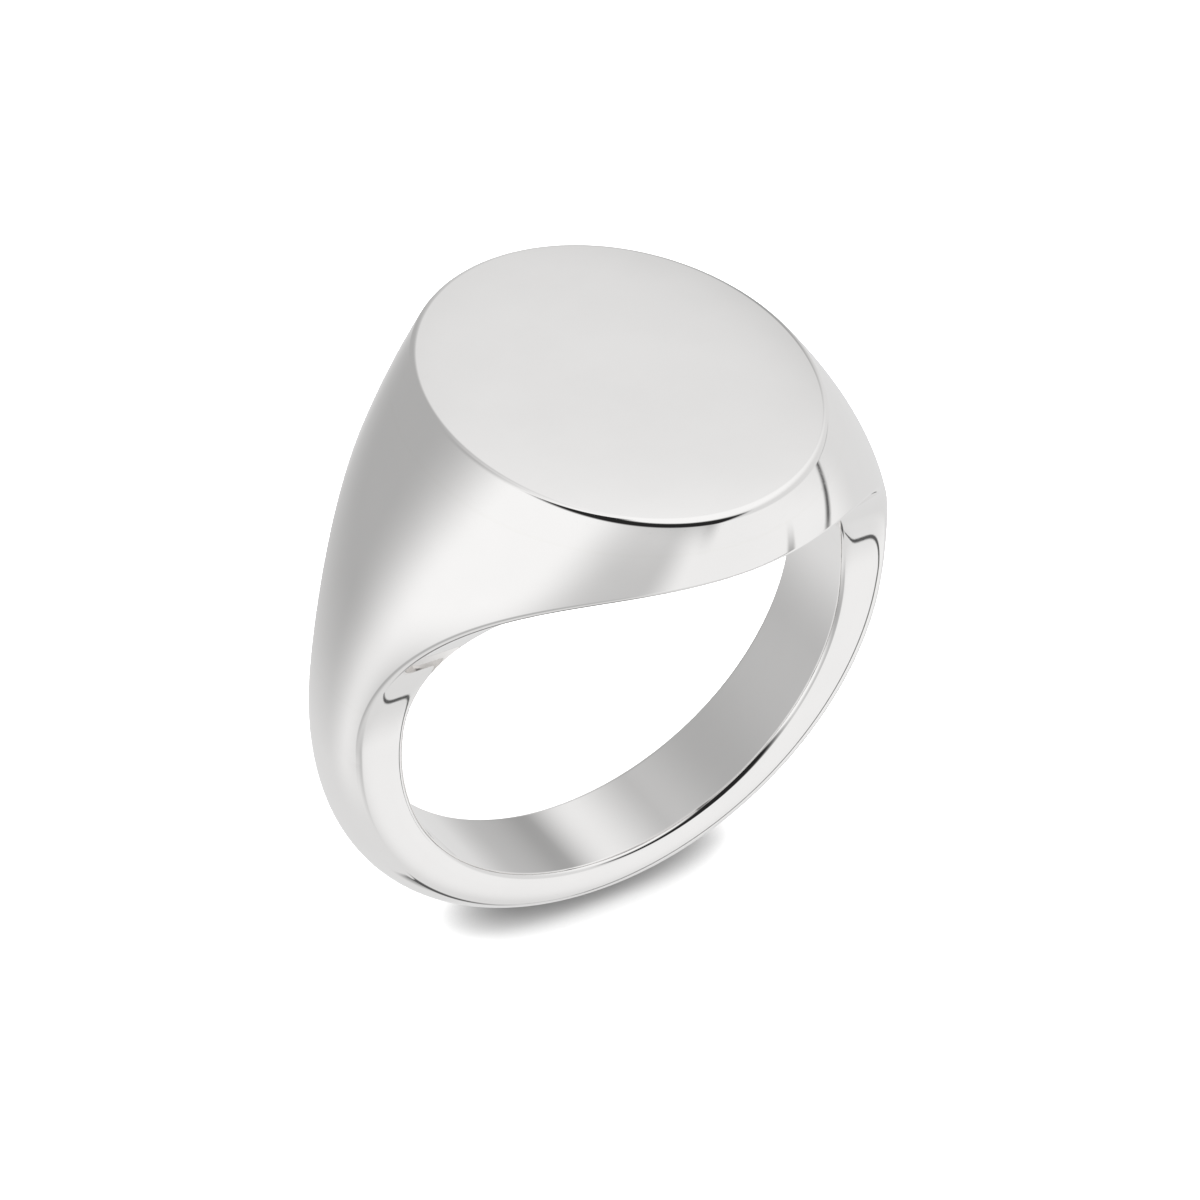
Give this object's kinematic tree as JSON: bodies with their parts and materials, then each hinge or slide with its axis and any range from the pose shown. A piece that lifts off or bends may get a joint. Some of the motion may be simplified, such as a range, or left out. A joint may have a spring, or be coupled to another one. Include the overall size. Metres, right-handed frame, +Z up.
{
  "type": "signet ring",
  "caption": "Plain oval signet ring: a flat polished table on a flared head whose shoulders taper into a narrow flat-sided shank.",
  "frame": {"origin": "the lowest point of the shank, below the middle of the finger hole, where the upright ring touches the surface it stands on", "axes": "+Z up through the middle of the table, Y along the finger hole, X across the shoulders"},
  "size_m": [0.0226, 0.0168, 0.0229],
  "materials": {
    "face_metal": "mirror-polished white precious metal",
    "head_metal": "mirror-polished white precious metal",
    "shank_metal": "mirror-polished white precious metal",
    "solder": "hard solder polished flush with the metal round it"
  },
  "bodies": {
    "root": {"face_plate": "face_metal", "face_solder": "solder", "head": "head_metal", "shank": "shank_metal", "solder_left": "solder", "solder_right": "solder"}
  },
  "joints": []
}
